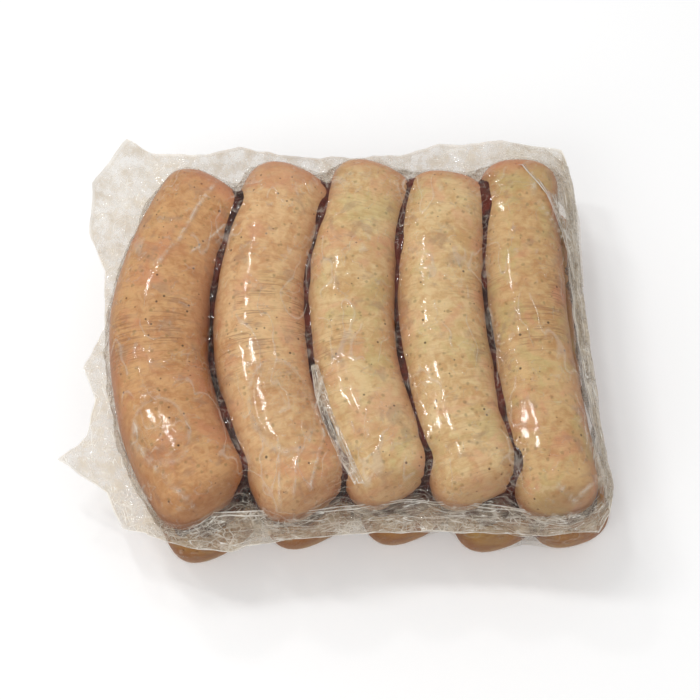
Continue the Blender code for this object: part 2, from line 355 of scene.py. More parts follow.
def sausage_material(name, group, lean, fat, pink, edge, green):
    """Moist casing over one batch of meat."""
    material = bpy.data.materials.new(name)
    material.use_nodes = True
    tree = material.node_tree
    shader = tree.nodes["Principled BSDF"]
    meat = tree.nodes.new("ShaderNodeGroup")
    meat.node_tree = group
    tree.links.new(named(tree, "unbent")["Vector"], meat.inputs["Unbent"])
    tree.links.new(named(tree, "place")["Vector"], meat.inputs["Place"])
    for socket, value in (("Lean Meat", lean), ("Fat", fat), ("Pink", pink), ("Edge Shade", edge),
                          ("Green", green)):
        meat.inputs[socket].default_value = value
    bump = join(tree, "ShaderNodeBump", {"Height": meat.outputs["Height"], "Strength": 0.35,
                                         "Distance": 0.5 * MM})
    tree.links.new(meat.outputs["Color"], shader.inputs["Base Color"])
    tree.links.new(bump.outputs[0], shader.inputs["Normal"])
    shader.inputs["Roughness"].default_value = 0.5
    shader.inputs["Specular IOR Level"].default_value = 0.12
    shader.inputs["Subsurface Weight"].default_value = 0.12
    shader.inputs["Subsurface Radius"].default_value = (1.0, 0.45, 0.25)
    shader.inputs["Subsurface Scale"].default_value = 2.0 * MM
    return material


meat = meat_group()
# Each batch: lean meat, fat, the pinker patches, the shaded edges, and how green its herbs make it.
tan_meat = sausage_material(
    "tan_sausage", meat, srgb(186, 131, 82), srgb(213, 165, 114), srgb(202, 130, 96),
    srgb(146, 88, 52), 0.08)
warm_meat = sausage_material(
    "warm_sausage", meat, srgb(203, 152, 103), srgb(227, 189, 140), srgb(214, 148, 116),
    srgb(160, 98, 60), 0.12)
pale_meat = sausage_material(
    "pale_sausage", meat, srgb(203, 162, 109), srgb(227, 198, 148), srgb(217, 156, 122),
    srgb(172, 110, 70), 0.38)
rosy_meat = sausage_material(
    "rosy_sausage", meat, srgb(192, 146, 95), srgb(215, 180, 129), srgb(214, 142, 112),
    srgb(142, 88, 54), 0.42)
low_meat = sausage_material(
    "lower_sausage", meat, srgb(160, 106, 42), srgb(188, 138, 66), srgb(170, 96, 44),
    srgb(132, 76, 30), 0.30)

link_tree = sausage_tree()
RINGS = 132
SEGMENTS = 88


def lay_sausage(name, link, axis_z, droop, casing, seed, detail):
    """One finished link in its place."""
    piece = grown(name, link_tree, {
        "Middle X": (link.x - FOOTPRINT_CENTRE[0]) * MM, "Middle Y": (link.y - FOOTPRINT_CENTRE[1]) * MM,
        "Axis Z": axis_z * MM, "Length": link.length * MM, "Bow": link.bow * MM,
        "Lean": math.radians(link.lean_deg), "Width": link.width * MM, "Height": LINK_HEIGHT * MM,
        "End Cap": END_CAP * MM, "Roundness": ROUNDNESS, "Bluntness": BLUNTNESS,
        "Droop": droop * MM, "Lumps": LUMPS * MM,
        "Girth Wave": GIRTH_WAVE, "Girth Wave Length": GIRTH_WAVE_LENGTH * MM,
        "Seed": float(seed), "Rings": int(RINGS * detail), "Segments": int(SEGMENTS * detail),
        "Casing": casing})
    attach(piece, "root")


for number, link in enumerate(BOTTOM_LINKS):
    lay_sausage(f"lower_sausage_{number + 1}", link, BOTTOM_AXIS_Z, 0.0, low_meat, 11 + number,
                LOWER_DETAIL)
UPPER_CASINGS = (tan_meat, warm_meat, pale_meat, pale_meat, rosy_meat)
# The film stands off the last upper link's right side, so the link itself is narrower than the film.
TOP_MEAT = (*TOP_LINKS[:-1], TOP_LINKS[-1]._replace(x=TOP_LINKS[-1].x - 1.2, width=32.1))
for number, link in enumerate(TOP_MEAT):
    lay_sausage(f"upper_sausage_{number + 1}", link, TOP_AXIS_Z, TOP_DROOP, UPPER_CASINGS[number],
                1 + number, 1.0)


# --- Juice ----------------------------------------------------------------------------------------
# Dark red-brown juice drawn out of the meat. It fills the grooves between the links and the hollow
# middle of the pack, and it is one body with the links standing out of it.

Reach = namedtuple("Reach", "upper_links drape end_drape pinch outline_drape inset")
SEAM_Z = 31.0
BRIDGE_HEIGHT = 18.0
MIDDLE_Y = -8.0
END_DRAPE_FROM = 48.0
END_DRAPE_FULL = 72.0
CORE_FRONT_Y = -67.0
CORE_BACK_Y = 52.0
RAY_START = 75.0  # the skins are found by walking in from here along each ray
RAY_STEPS = 45
LIFT_STEPS = 10
RAY_STEP_SHARE = 0.75


def arc_of(link):
    """Radius and centre of a link's bowed centreline, its directions, and half its straight run."""
    half_chord = link.length / 2 - END_CAP
    radius = (half_chord**2 + link.bow**2) / (2 * link.bow)
    lean = math.radians(link.lean_deg)
    along = np.array([math.sin(lean), math.cos(lean)])
    inward = np.array([math.cos(lean), -math.sin(lean)])
    middle = np.array([link.x, link.y]) - FOOTPRINT_CENTRE
    return radius, middle + radius * inward, along, inward, half_chord


def centreline_x(link, y):
    """X of a link's centreline where it crosses y."""
    radius, centre, _, _, _ = arc_of(link)
    return centre[0] - np.sqrt(radius**2 - (y - centre[1]) ** 2)


def across_at(link, y):
    """X of a link's centreline at y, both counted as in the tables of links and edges."""
    return centreline_x(link, y - FOOTPRINT_CENTRE[1]) + FOOTPRINT_CENTRE[0]


def outside_link(link, axis_z, droop, points):
    """How far each point is outside a link's skin, in mm; below zero inside it."""
    radius, centre, along, inward, half_chord = arc_of(link)
    offset = points[:, :2] - centre
    reach = np.hypot(offset[:, 0], offset[:, 1])
    station = np.arctan2(offset @ along, -(offset @ inward)) * radius
    beyond = np.maximum(np.abs(station) - half_chord, 0) / END_CAP
    middle_x = link.x - FOOTPRINT_CENTRE[0]
    wave = 1 + GIRTH_WAVE * np.sin(2 * math.pi * station / GIRTH_WAVE_LENGTH + middle_x)
    half_width = link.width / 2 * wave
    axis = axis_z - droop * (2 * station / link.length) ** 2
    across = np.abs(reach - radius) / half_width
    upward = np.abs(points[:, 2] - axis) / (LINK_HEIGHT / 2 * wave)
    shape = (across**ROUNDNESS + upward**ROUNDNESS + beyond**BLUNTNESS) ** (1 / ROUNDNESS)
    return (shape - 1) * half_width


def outside_each(points, upper_links=TOP_LINKS):
    """Distances outside each upper and each lower link."""
    upper = [outside_link(link, TOP_AXIS_Z, TOP_DROOP, points) for link in upper_links]
    lower = [outside_link(link, BOTTOM_AXIS_Z, 0, points) for link in BOTTOM_LINKS]
    return upper, lower


def smooth_union(distances, drape):
    """One distance for several shapes together, the grooves between them spanned."""
    total = sum(np.exp(-distance / drape) for distance in distances)
    return -drape * np.log(np.maximum(total, 1e-12))


def outside_all(points, reach):
    """How far each point is outside a skin that spans the links' grooves as far as reach says."""
    upper, lower = outside_each(points, reach.upper_links)
    from_middle = np.abs(points[:, 1] - MIDDLE_Y)
    share = np.clip((from_middle - END_DRAPE_FROM) / (END_DRAPE_FULL - END_DRAPE_FROM), 0, 1)
    drape = reach.drape + (reach.end_drape - reach.drape) * share * share * (3 - 2 * share)
    plan = points.copy()
    plan[:, 2] = 0
    outline = smooth_union(
        [outside_link(link, 0, 0, plan) for link in reach.upper_links + BOTTOM_LINKS], reach.outline_drape)
    height = np.abs(points[:, 2] - SEAM_Z) - BRIDGE_HEIGHT / 2
    bridge = np.maximum(outline + reach.inset, height)
    return smooth_union([smooth_union(upper, drape), smooth_union(lower, drape), bridge], reach.pinch)


def fan_lines(count, fan_rows):
    """For each grid line, its place along the core from 0 to 1, and its fan from -1 to 1."""
    lines = np.arange(-fan_rows, count + fan_rows + 1)
    fan = np.where(lines < 0, lines / fan_rows, np.maximum(lines - count, 0) / fan_rows)
    return np.clip(lines / count, 0, 1), fan


def ripples(points, wavelength, seed, waves=14):
    """A gentle random swell over points, about -1 to 1, with waves of this length."""
    source = np.random.default_rng(seed)
    headings = source.normal(size=(waves, points.shape[1]))
    headings /= np.linalg.norm(headings, axis=1)[:, None]
    headings *= 2 * math.pi / wavelength * source.uniform(0.75, 1.3, size=(waves, 1))
    starts = source.uniform(0, 2 * math.pi, waves)
    return np.sin(points @ headings.T + starts).sum(axis=1) / math.sqrt(waves) * 0.8


def draw_skin(side, cells, fan_rows, reach, lift):
    """The grid of points of an upper (side 1) or lower (side -1) skin over the links, out to the seam."""
    place_x, fan_x = fan_lines(cells[0], fan_rows)
    place_y, fan_y = fan_lines(cells[1], fan_rows)
    u, v = np.meshgrid(place_x, place_y, indexing="ij")
    fan_u, fan_v = np.meshgrid(fan_x, fan_y, indexing="ij")
    core_y = CORE_FRONT_Y + v * (CORE_BACK_Y - CORE_FRONT_Y) - FOOTPRINT_CENTRE[1]
    left = centreline_x(TOP_LINKS[0], core_y)
    right = centreline_x(TOP_LINKS[-1], core_y)
    core = np.stack([left + u * (right - left), core_y, np.full_like(u, SEAM_Z)], -1).reshape(-1, 3)
    tilt = np.maximum(np.abs(fan_u), np.abs(fan_v)) * math.pi / 2
    level = np.maximum(np.hypot(fan_u, fan_v), 1e-9)
    ray = np.stack([fan_u * np.sin(tilt) / level, fan_v * np.sin(tilt) / level, side * np.cos(tilt)], -1)
    ray = ray.reshape(-1, 3)
    out = np.full(len(core), RAY_START)
    for _ in range(RAY_STEPS):
        out -= RAY_STEP_SHARE * outside_all(core + out[:, None] * ray, reach)
    base = core + out[:, None] * ray
    lifted = lift(base)
    for _ in range(LIFT_STEPS):
        out -= RAY_STEP_SHARE * (outside_all(core + out[:, None] * ray, reach) - lifted)
    return (core + out[:, None] * ray).reshape(*u.shape, 3)


def grid_faces(columns, rows, first, side):
    """Faces of a grid of points, turned outwards."""
    i, j = np.meshgrid(np.arange(columns - 1), np.arange(rows - 1), indexing="ij")
    a = (first + i * rows + j).ravel()
    quads = np.stack([a, a + rows, a + rows + 1, a + 1], -1)
    return (quads if side > 0 else quads[:, ::-1]).tolist()


def rim_of(columns, rows):
    """Numbers of a grid's outermost points, round it in order from the front left corner backwards."""
    left = list(range(rows - 1))
    back = [i * rows + rows - 1 for i in range(columns - 1)]
    right = [(columns - 1) * rows + j for j in range(rows - 1, 0, -1)]
    front = [i * rows for i in range(columns - 1, 0, -1)]
    return left, back, right, front


def new_piece(name, points, faces, material):
    """A smooth mesh piece from points in mm, riding on the pack."""
    mesh = bpy.data.meshes.new(name)
    mesh.from_pydata((points * MM).tolist(), [], faces)
    mesh.validate()
    mesh.shade_smooth()
    mesh.materials.append(material)
    piece = bpy.data.objects.new(name, mesh)
    bpy.context.scene.collection.objects.link(piece)
    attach(piece, "root")
    return piece


def carry(piece, **values):
    """Store values or vectors for each of a piece's points."""
    for name, given in values.items():
        kind, field = ("FLOAT_VECTOR", "vector") if given.ndim == 2 else ("FLOAT", "value")
        layer = piece.data.attributes.new(name, kind, "POINT")
        layer.data.foreach_set(field, given.astype(np.float32).ravel())


def juice_material():
    """Thin dark juice, redder in soft clouds."""
    material = bpy.data.materials.new("meat_juice")
    material.use_nodes = True
    tree = material.node_tree
    shader = tree.nodes["Principled BSDF"]
    spot = join(tree, "ShaderNodeTexCoord", {}).outputs["Object"]
    cloud = noise_of(tree, spot, 110.0, 3.0, 0.55, 0.5)
    colour = blend_of(tree, ramp_of(tree, cloud, 0.35, 0.68), srgb(42, 11, 4), srgb(102, 36, 17))
    tree.links.new(colour, shader.inputs["Base Color"])
    shader.inputs["Roughness"].default_value = 0.3
    shader.inputs["Specular IOR Level"].default_value = 0.04
    return material


JUICE_REACH = Reach(TOP_MEAT, 1.7, 2.8, 2.0, 3.0, 9.0)
JUICE_CELLS = (150, 90)
JUICE_FAN = 12
JUICE_FLOOR = 0.5  # the juice stays this far above the counter


def juice_lift(points):
    """The juice stands at different heights along the grooves, and stays inside the links."""
    upper, lower = outside_each(points, TOP_MEAT)
    deep = np.clip(np.min(upper + lower, axis=0) / 0.8, 0, 1)
    return -0.6 + deep * np.clip(0.1 + 0.5 * ripples(points, 12.0, 3), -0.8, 0.9)


def pour_juice():
    """Both skins of the juice, joined at their rims as one closed body."""
    upper = draw_skin(1, JUICE_CELLS, JUICE_FAN, JUICE_REACH, juice_lift)
    lower = draw_skin(-1, JUICE_CELLS, JUICE_FAN, JUICE_REACH, juice_lift)
    columns, rows, _ = upper.shape
    count = columns * rows
    lower[..., 2] = np.maximum(lower[..., 2], JUICE_FLOOR)
    rim = [n for side in rim_of(columns, rows) for n in side]
    lower.reshape(-1, 3)[rim, 2] -= 0.2
    upper.reshape(-1, 3)[rim, 2] += 0.2
    faces = grid_faces(columns, rows, 0, 1) + grid_faces(columns, rows, count, -1)
    faces += [(rim[k - 1], rim[k], rim[k] + count, rim[k - 1] + count) for k in range(len(rim))]
    points = np.vstack([upper.reshape(-1, 3), lower.reshape(-1, 3)])
    new_piece("meat_juice", points, faces, juice_material())


pour_juice()


# --- Film -----------------------------------------------------------------------------------------
# A clear bag drawn tight round the links. Its upper and lower sheets meet between the two layers and
# are welded there into a flat margin with a pressed texture, which creases and curls as it is cut.

FILM_REACH = Reach(TOP_LINKS, 3.2, 5.2, 2.2, 5.0, 7.0)
SHINE_FACING = 0.015  # share of light that the film mirrors where it faces the eye
SHINE_SLANTED = 0.22  # how much more it mirrors where it is seen along its surface
FILM_GAP = 0.45
MARGIN_BEND = 2.0
MARGIN_HAZE = 0.38
TIGHT_TINT = (0.985, 0.98, 0.975, 1)
LOOSE_TINT = (0.85, 0.835, 0.81, 1)
FOLD_TINT = (0.95, 0.935, 0.915, 1)

# The cut edge of the margin, side by side, each from its first corner to the next one's, in mm.
LEFT_EDGE = (
    (-70, -84, 30), (-80, -81, 29), (-83, -76, 28), (-87, -66, 27), (-106, -54, 30),
    (-96, -43, 29), (-94, -27, 28), (-99, -15, 31), (-92, 3, 31), (-93, 28, 33),
    (-100, 43, 35), (-100, 66, 38), (-87, 87, 39),
)
BACK_EDGE = (
    (-87, 87, 39), (-77, 82, 37), (-58, 81, 36), (-40, 85, 36), (-24, 82, 35), (2, 81, 34),
    (28, 82, 34), (44, 87, 35), (66, 88, 36), (82, 87, 36), (95, 84, 35),
)
RIGHT_EDGE = (
    (95, 84, 35), (99, 71, 34), (100, 52, 32), (100, 31, 31), (102, -8, 31), (104, -42, 31),
    (107, -64, 31), (105, -76, 31),
)
FRONT_EDGE = (
    (105, -76, 31), (100, -83, 31), (86, -84, 31), (80, -85, 31), (63, -84, 31), (42, -83, 30),
    (20, -83, 30), (6, -84, 30), (-16, -86, 30), (-27, -88, 30), (-38, -91, 30), (-51, -90, 30),
    (-62, -87, 30), (-70, -84, 30),
)

SHOULDER_Z = 48.0  # where the upper film leaves the links' sides and starts down to the seam
WRINKLED_FROM = 46.0  # past this Y the film grows wrinkled over the links' back ends
WRINKLES_GROW = 22.0

# Air trapped under the film: middle X and Y, half its width and length, its turn and its height.
Pocket = namedtuple("Pocket", "x y half_width half_length turn_deg height")
POCKETS = (
    Pocket(-63.0, -55.0, 10.0, 13.0, 20, 1.5),
    Pocket(-19.0, -45.0, 11.5, 19.0, 14, 1.5),
)

# Folds of film: the points that each runs through, its width and its height.
Fold = namedtuple("Fold", "points width height")
FOLDS = (
    Fold(((-73, -50), (-70, -62), (-62, -72), (-50, -83)), 1.3, 0.8),
    Fold(((-47, 52), (-54, 40), (-60, 26), (-68, 15)), 1.6, 0.8),
    Fold(((-43, 34), (-50, 26), (-55, 21)), 1.0, 0.5),
    Fold(((-4, -32), (-6, -44), (-3, -56), (-8, -76)), 1.0, 1.1),
    Fold(((-12, -58), (-14, -80)), 0.7, 0.5),
    Fold(((-20, -58), (-19, -82)), 0.7, 0.5),
    Fold(((78, 62), (80, 44), (90, 30), (97, 18)), 1.0, 0.9),
    Fold(((90, -45), (94, -56), (100, -70), (88, -80), (82, -76)), 1.5, 1.2),
)


def along_edge(edge, shares):
    """Points of a polyline at these shares of its length."""
    corners = np.array(edge, float)
    corners[:, :2] -= FOOTPRINT_CENTRE
    steps = np.linalg.norm(np.diff(corners, axis=0), axis=1)
    travelled = np.concatenate([[0], np.cumsum(steps)]) / steps.sum()
    return np.stack([np.interp(shares, travelled, corners[:, k]) for k in range(3)], -1)


def distance_to_run(points, run):
    """Distance in plan from each point to a polyline."""
    corners = np.array(run, float) - FOOTPRINT_CENTRE
    nearest = np.full(len(points), 1e9)
    for start, end in zip(corners[:-1], corners[1:], strict=True):
        step = end - start
        share = np.clip((points[:, :2] - start) @ step / (step @ step), 0, 1)
        gap = points[:, :2] - start - share[:, None] * step
        nearest = np.minimum(nearest, np.hypot(gap[:, 0], gap[:, 1]))
    return nearest


def slack_at(points):
    """From 0 where the film lies on a link to 1 where it spans a groove."""
    upper, lower = outside_each(points)
    nearest = np.min(upper + lower, axis=0)
    return np.clip((nearest - FILM_GAP - 0.3) / 2.0, 0, 1)


def skirt_at(points):
    """From 0 up on the links to 1 where the upper film has left their shoulders on its way to the seam."""
    share = np.clip((SHOULDER_Z - points[:, 2]) / 3.5, 0, 1)
    return share * (points[:, 2] > SEAM_Z - 1.5)


def flow_of(points):
    """Film coordinates whose third part is the way down from the shoulder, so folds can run along it."""
    plan = points.copy()
    plan[:, 2] = 0
    outline = smooth_union([outside_link(link, 0, 0, plan) for link in TOP_LINKS], 3.0)
    down = SHOULDER_Z - points[:, 2] + np.maximum(outline, 0)
    return np.stack([points[:, 0] * 0.14, points[:, 1] * 0.14, down], -1) * MM


def pocket_radius(pocket, points):
    """Distance from a pocket's middle as a share of the way to its rim."""
    turn = math.radians(pocket.turn_deg)
    offset = points[:, :2] - np.array([pocket.x, pocket.y]) + FOOTPRINT_CENTRE
    across = (offset[:, 0] * math.cos(turn) + offset[:, 1] * math.sin(turn)) / pocket.half_width
    along = (-offset[:, 0] * math.sin(turn) + offset[:, 1] * math.cos(turn)) / pocket.half_length
    return np.hypot(across, along)


def crease_at(points):
    """How milky and bright the film is along the folds and the rims of air pockets: partly film folded over
    itself, partly painted highlight where these ridges would catch the lamps.
    """
    crease = np.zeros(len(points))
    for fold in FOLDS:
        away = distance_to_run(points, fold.points) / (0.55 * fold.width)
        crease = np.maximum(crease, np.exp(-(away**2)))
    for pocket in POCKETS:
        away = (pocket_radius(pocket, points) - 1) * pocket.half_width / 0.7
        crease = np.maximum(crease, 0.7 * np.exp(-(away**2)))
    return crease * (points[:, 2] > SEAM_Z)


def film_lift(points):
    """How far the film stands off the shape drawn tight round the links."""
    slack = slack_at(points)
    skirt = skirt_at(points)
    lift = FILM_GAP + 0.12 * ripples(points, 24.0, 5) + slack * 0.5 * ripples(points, 7.0, 6)
    pleated = points * np.array([0.45, 0.45, 1.0])
    lift += skirt * (1.3 + 0.8 * ripples(pleated, 9.0, 9) + 0.25 * ripples(points, 4.5, 10))
    on_top = points[:, 2] > SEAM_Z
    for pocket in POCKETS:
        inside = np.clip((1.08 - pocket_radius(pocket, points)) / 0.22, 0, 1)
        lift += on_top * pocket.height * inside * inside * (3 - 2 * inside)
    for fold in FOLDS:
        away = distance_to_run(points, fold.points) / fold.width
        lift += on_top * fold.height * np.exp(-(away**2))
    return lift


def margin_rings(skin, rows_out):
    """Rings of points from the seam out to the cut edge, and each ring's share of the way."""
    columns, rows, _ = skin.shape
    flat = skin.reshape(-1, 3)
    sides = rim_of(columns, rows)
    seam = flat[[n for side in sides for n in side]]
    starts = [flat[side[0]] for side in sides]
    edge = []
    for number, (side, cut) in enumerate(
        zip(sides, (LEFT_EDGE, BACK_EDGE, RIGHT_EDGE, FRONT_EDGE), strict=True)
    ):
        closed = np.vstack([flat[side], starts[(number + 1) % 4]])
        steps = np.linalg.norm(np.diff(closed, axis=0), axis=1)
        shares = np.concatenate([[0], np.cumsum(steps)]) / steps.sum()
        edge.append(along_edge(cut, shares[:-1]))
    edge = np.vstack(edge)
    rings = []
    for share in np.arange(1, rows_out + 1) / rows_out:
        ring = seam + np.array([share, share, share**MARGIN_BEND]) * (edge - seam)
        loose = min(1.0, share * 2.5)
        ring[:, 2] += loose * (1.1 * ripples(ring[:, :2], 19.0, 21) + 0.4 * ripples(ring[:, :2], 7.0, 22))
        ring[:, :2] += 0.25 * loose * np.stack(
            [ripples(ring[:, :2], 12.0, 23), ripples(ring[:, :2], 12.0, 24)], -1)
        rings.append(ring)
    return rings, [n for side in sides for n in side]


def crease_group():
    """Creases in clear film: long sharp folds, folds that run along the welds, and small crumpling. Their
    lines are milky white, partly painted highlight for the glints on the creases.
    """
    tree, given, out = group_of(
        "film_creases",
        [("Spot", "Vector"), ("Flow", "Vector"), ("Slack", "Float"), ("Rim", "Float")],
        [("Height", "Float"), ("Milk And Glint Lines", "Float")],
    )
    spot = given["Spot"]
    slack = given["Slack"]
    swirl = join(tree, "ShaderNodeTexNoise", {"Vector": spot, "Scale": 70.0, "Detail": 1.0}).outputs[1]
    bent = join(tree, "ShaderNodeVectorMath", {0: swirl, 1: (0.009, 0.009, 0.009), 2: spot},
                operation="MULTIPLY_ADD").outputs[0]
    flow = join(tree, "ShaderNodeVectorMath", {0: swirl, 1: (0.004, 0.004, 0.004), 2: given["Flow"]},
                operation="MULTIPLY_ADD").outputs[0]

    def fold_lines(vector, scale, width, least):
        """Thin lines where noise crosses its middle, kept only in some places."""
        value = noise_of(tree, vector, scale, 1.0, 0.4)
        off = calc(tree, "ABSOLUTE", calc(tree, "SUBTRACT", value, 0.5))
        line = calc(tree, "SUBTRACT", 1.0, ramp_of(tree, off, 0.0, width))
        kept = ramp_of(tree, noise_of(tree, spot, scale * 0.6, 1.0), least, least + 0.05)
        return times(tree, line, kept)

    def near(value, middle, width):
        """1 where a value is close to the middle, 0 past the width."""
        off = calc(tree, "ABSOLUTE", calc(tree, "SUBTRACT", value, middle))
        return calc(tree, "SUBTRACT", 1.0, ramp_of(tree, off, 0.0, width))

    long_folds = fold_lines(stretched(tree, bent, (1.0, 0.35, 1.0)), 95.0, 0.022, 0.50)
    short_folds = fold_lines(bent, 240.0, 0.045, 0.55)
    on_links = larger(tree, long_folds, times(tree, short_folds, 0.7))

    weld_folds = larger(tree, fold_lines(flow, 250.0, 0.022, 0.44),
                        times(tree, fold_lines(flow, 600.0, 0.05, 0.50), 0.5))
    down = join(tree, "ShaderNodeSeparateXYZ", {0: flow}).outputs["Z"]
    hems = larger(tree, near(down, 3.6 * MM, 0.45 * MM),
                  times(tree, near(down, 10.5 * MM, 0.4 * MM), 0.6))
    cut = ramp_of(tree, given["Rim"], 0.93, 0.98)
    facets = join(tree, "ShaderNodeTexVoronoi", {"Vector": bent, "Scale": 300.0, "Randomness": 1.0},
                  feature="DISTANCE_TO_EDGE")
    patchy = ramp_of(tree, noise_of(tree, spot, 60.0, 1.0, 0.6), 0.48, 0.60)
    crumpled = times(tree, near(facets.outputs["Distance"], 0.0, 0.08), patchy)
    loose = larger(tree, larger(tree, weld_folds, hems), larger(tree, times(tree, crumpled, 0.7), cut))
    loose = times(tree, loose, slack)

    rolling = noise_of(tree, flow, 210.0, 2.0, 0.5)
    swell = noise_of(tree, spot, 130.0, 1.0, 0.4)
    height = times(tree, times_plus(tree, rolling, 5.0, loose), slack)
    swell = times_plus(tree, swell, 0.9, times(tree, on_links, 0.5))
    height = calc(tree, "ADD", height, swell)
    # Milky white crease lines: partly film whitened where it creases, partly painted highlight where the
    # creases would glint.
    lines = larger(tree, loose, times(tree, on_links, 0.38))
    tree.links.new(height, out.inputs["Height"])
    tree.links.new(lines, out.inputs["Milk And Glint Lines"])
    return tree


def film_material(name, creases, loose_tint):
    """Clear glossy film, milky where it is doubled, creased or welded, and near white along its crease lines,
    folds and pocket rims as partly painted highlight.
    """
    material = bpy.data.materials.new(name)
    material.use_nodes = True
    tree = material.node_tree
    tree.nodes.remove(tree.nodes["Principled BSDF"])
    spot = join(tree, "ShaderNodeTexCoord", {}).outputs["Object"]
    crease = tree.nodes.new("ShaderNodeGroup")
    crease.node_tree = creases
    tree.links.new(spot, crease.inputs["Spot"])
    tree.links.new(named(tree, "flow")["Vector"], crease.inputs["Flow"])
    tree.links.new(named(tree, "slack")["Fac"], crease.inputs["Slack"])
    tree.links.new(named(tree, "rim")["Fac"], crease.inputs["Rim"])
    bump = join(tree, "ShaderNodeBump", {"Height": crease.outputs["Height"], "Strength": 1.0,
                                         "Distance": 0.25 * MM})
    cloudy = noise_of(tree, spot, 170.0, 3.0, 0.7)
    milk = times(tree, named(tree, "haze")["Fac"],
                 times_plus(tree, ramp_of(tree, cloudy, 0.3, 0.7), 1.6, 0.2))
    # The crease lines turn the film milky white, partly as painted highlight.
    milk = times_plus(tree, crease.outputs["Milk And Glint Lines"], 0.6, milk)
    broken = ramp_of(tree, noise_of(tree, spot, 260.0, 2.0, 0.6), 0.35, 0.60)
    # Partly real milk, partly painted highlight: the folds and pocket rims turn milky and bright.
    crease_milk_and_glint = times(tree, named(tree, "crease")["Fac"], times_plus(tree, broken, 0.34, 0.08))
    milk = calc(tree, "MINIMUM", calc(tree, "ADD", milk, crease_milk_and_glint), 1.0)
    tint = blend_of(tree, named(tree, "slack")["Fac"], TIGHT_TINT, loose_tint)
    clear = join(tree, "ShaderNodeBsdfTransparent", {"Color": tint})
    # Painted highlight: the milky colour turns near white along the crease lines, folds and pocket rims.
    milk_and_glint_colour = blend_of(tree, larger(tree, crease.outputs["Milk And Glint Lines"], crease_milk_and_glint),
                         srgb(222, 207, 184), srgb(250, 246, 238))
    milky = join(tree, "ShaderNodeBsdfPrincipled",
                 {"Base Color": milk_and_glint_colour, "Roughness": 0.5, "Specular IOR Level": 0.0})
    body = join(tree, "ShaderNodeMixShader", {0: milk, 1: clear.outputs[0], 2: milky.outputs[0]})
    gloss = join(tree, "ShaderNodeBsdfGlossy", {"Color": (1, 1, 1, 1), "Roughness": 0.08,
                                                "Normal": bump.outputs[0]})
    slant = join(tree, "ShaderNodeLayerWeight", {"Blend": 0.5, "Normal": bump.outputs[0]}).outputs["Facing"]
    shine = times_plus(tree, calc(tree, "POWER", slant, 5.0), SHINE_SLANTED, SHINE_FACING)
    whole = join(tree, "ShaderNodeMixShader", {0: shine, 1: body.outputs[0], 2: gloss.outputs[0]})
    tree.links.new(whole.outputs[0], tree.nodes["Material Output"].inputs[0])
    return material


film_creases = crease_group()
clear_film = film_material("clear_film", film_creases, LOOSE_TINT)
folded_film = film_material("folded_film", film_creases, FOLD_TINT)
SHEET_CELLS = (200, 140)
SHEET_FAN = 28
SHEET_MARGIN = 16
LOWER_CELLS = (140, 96)
LOWER_FAN = 20


def upper_sheet():
    """The film over the upper links, and the margin round it as far as the cut edge."""
    skin = draw_skin(1, SHEET_CELLS, SHEET_FAN, FILM_REACH, film_lift)
    columns, rows, _ = skin.shape
    rings, seam = margin_rings(skin, SHEET_MARGIN)
    faces = grid_faces(columns, rows, 0, 1)
    inner = seam
    first = columns * rows
    for _ in rings:
        outer = list(range(first, first + len(seam)))
        faces += [(inner[k - 1], inner[k], outer[k], outer[k - 1]) for k in range(len(seam))]
        inner = outer
        first += len(seam)
    flat = skin.reshape(-1, 3)
    points = np.vstack([flat, *rings])
    piece = new_piece("film_upper", points, faces, clear_film)
    slack = slack_at(flat)
    skirt = skirt_at(flat)
    at_back = np.clip((flat[:, 1] - WRINKLED_FROM) / WRINKLES_GROW, 0, 1) * (flat[:, 2] > SEAM_Z)
    film_slack = np.clip(0.05 + 0.35 * slack + 0.9 * skirt + 0.34 * at_back, 0, 1)
    film_haze = 0.01 + 0.005 * slack + 0.18 * skirt + 0.035 * at_back
    margin = len(points) - len(flat)
    ring_shares = np.repeat(np.arange(1, SHEET_MARGIN + 1) / SHEET_MARGIN, len(seam))
    carry(piece,
          slack=np.concatenate([film_slack, np.full(margin, 1.0)]),
          haze=np.concatenate([film_haze, np.full(margin, MARGIN_HAZE)]),
          rim=np.concatenate([np.zeros(len(flat)), ring_shares]),
          crease=crease_at(points), flow=flow_of(points))
    return piece


def lower_sheet():
    """The film under the lower links, up to the seam."""
    skin = draw_skin(-1, LOWER_CELLS, LOWER_FAN, FILM_REACH, film_lift)
    columns, rows, _ = skin.shape
    flat = skin.reshape(-1, 3)
    flat[:, 2] = np.clip(flat[:, 2], 0.05, SEAM_Z - 0.2)
    piece = new_piece("film_lower", flat, grid_faces(columns, rows, 0, -1), clear_film)
    slack = slack_at(flat)
    carry(piece, slack=np.clip(0.1 + 0.5 * slack, 0, 1), haze=0.005 + 0.01 * slack,
          rim=np.zeros(len(flat)), flow=flat * MM)


def front_tip(link):
    """Where a link's front tip lies, in plan."""
    radius, centre, along, inward, _ = arc_of(link)
    turn = -link.length / 2 / radius
    return centre + radius * (along * math.sin(turn) - inward * math.cos(turn)) + FOOTPRINT_CENTRE


FOLD_WIDTH = 19.0
FOLD_ROWS = 22


